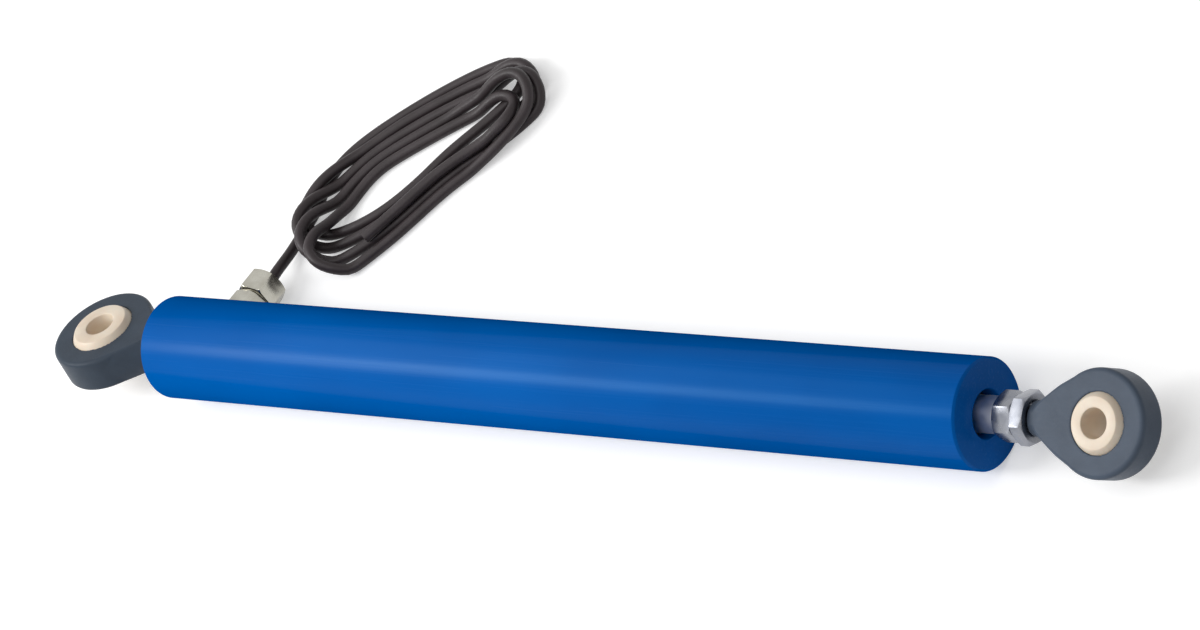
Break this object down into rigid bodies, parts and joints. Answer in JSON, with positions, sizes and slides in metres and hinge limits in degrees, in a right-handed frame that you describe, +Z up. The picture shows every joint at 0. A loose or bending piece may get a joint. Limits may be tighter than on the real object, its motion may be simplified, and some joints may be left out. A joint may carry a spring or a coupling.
{
  "type": "linear inductive transducer",
  "caption": "Tubular inductive displacement sensor: blue anodised housing, sliding plunger rod, a spherical rod end at either end and a cable gland with coiled cable.",
  "frame": {"origin": "centre of the rear rod end's bore, on the tube's axis", "axes": "+X along the tube from the rear eye to the front eye, +Z up from the table that the tube lies on, +Y to the side of the cable outlet"},
  "size_m": [0.3914, 0.1247, 0.03],
  "materials": {
    "blue_anodised": "blue anodised, fine turned",
    "plain_aluminium": "turned",
    "dark_polymer": "moulded, satin",
    "cream_polymer": "moulded, satin",
    "plated_steel": "zinc plated",
    "ground_steel": "ground and polished",
    "stainless_steel": "turned",
    "nickel_plate": "nickel plated",
    "black_rubber": "moulded",
    "cable_sheath": "extruded, satin",
    "bearing_plastic": "turned",
    "former_plastic": "moulded",
    "copper_wire": "enamelled and wound",
    "tinned_pins": "tinned",
    "ferrite": "sintered and ground",
    "soft_iron": "rolled",
    "cradle_plastic": "moulded",
    "board_laminate": "lacquered",
    "chip_black": "moulded",
    "can_aluminium": "drawn",
    "trimmer_blue": "moulded",
    "wire_insulation": "extruded"
  },
  "bodies": {
    "housing": {"housing_tube": "blue_anodised", "rear_plug": "plain_aluminium", "plug_o_ring": "black_rubber", "rear_stud": "plated_steel", "rear_lock_nut": "plated_steel", "rear_rod_end": "dark_polymer", "guide_bush": "bearing_plastic", "rod_wiper": "black_rubber", "packing_ring": "black_rubber", "coil_former": "former_plastic", "rear_winding": "copper_wire", "front_winding": "copper_wire", "coil_pins": "tinned_pins", "shield_sleeve": "soft_iron", "board_cradle": "cradle_plastic", "circuit_board": "board_laminate", "board_screws": "stainless_steel", "driver_chip": "chip_black", "capacitors": "can_aluminium", "trimmers": "trimmer_blue", "gland_washer": "black_rubber", "gland_body": "nickel_plate", "gland_seal": "black_rubber", "gland_cap": "nickel_plate", "cable_tail": "cable_sheath", "core_wires": "wire_insulation", "cable_lead": "cable_sheath", "cable_coil": "cable_sheath"},
    "guide": {"guide_ring": "former_plastic"},
    "rod": {"plunger_rod": "ground_steel", "hexagon_head": "plated_steel", "front_lock_nut": "plated_steel", "front_stud": "plated_steel", "front_rod_end": "dark_polymer", "core_stem": "stainless_steel", "ferrite_core": "ferrite", "stem_clip": "stainless_steel"},
    "rear_ball": {"rear_ball": "cream_polymer"},
    "front_ball": {"front_ball": "cream_polymer"}
  },
  "joints": [
    {"name": "rod_slide", "type": "slide", "parent": "housing", "child": "guide", "axis": [1, 0, 0], "range_m": [0, 0.1]},
    {"name": "rod_turn", "type": "hinge", "parent": "guide", "child": "rod", "pos_m": [0.2, 0, 0], "axis": [1, 0, 0], "continuous": true},
    {"name": "rear_ball_tilt", "type": "hinge", "parent": "housing", "child": "rear_ball", "pos_m": [0, 0, 0], "axis": [0, 0.9537, -0.3007], "range_deg": [-15, 15]},
    {"name": "front_ball_tilt", "type": "hinge", "parent": "rod", "child": "front_ball", "pos_m": [0.361, 0, 0], "axis": [0, 0.887, 0.4617], "range_deg": [-15, 15]}
  ]
}
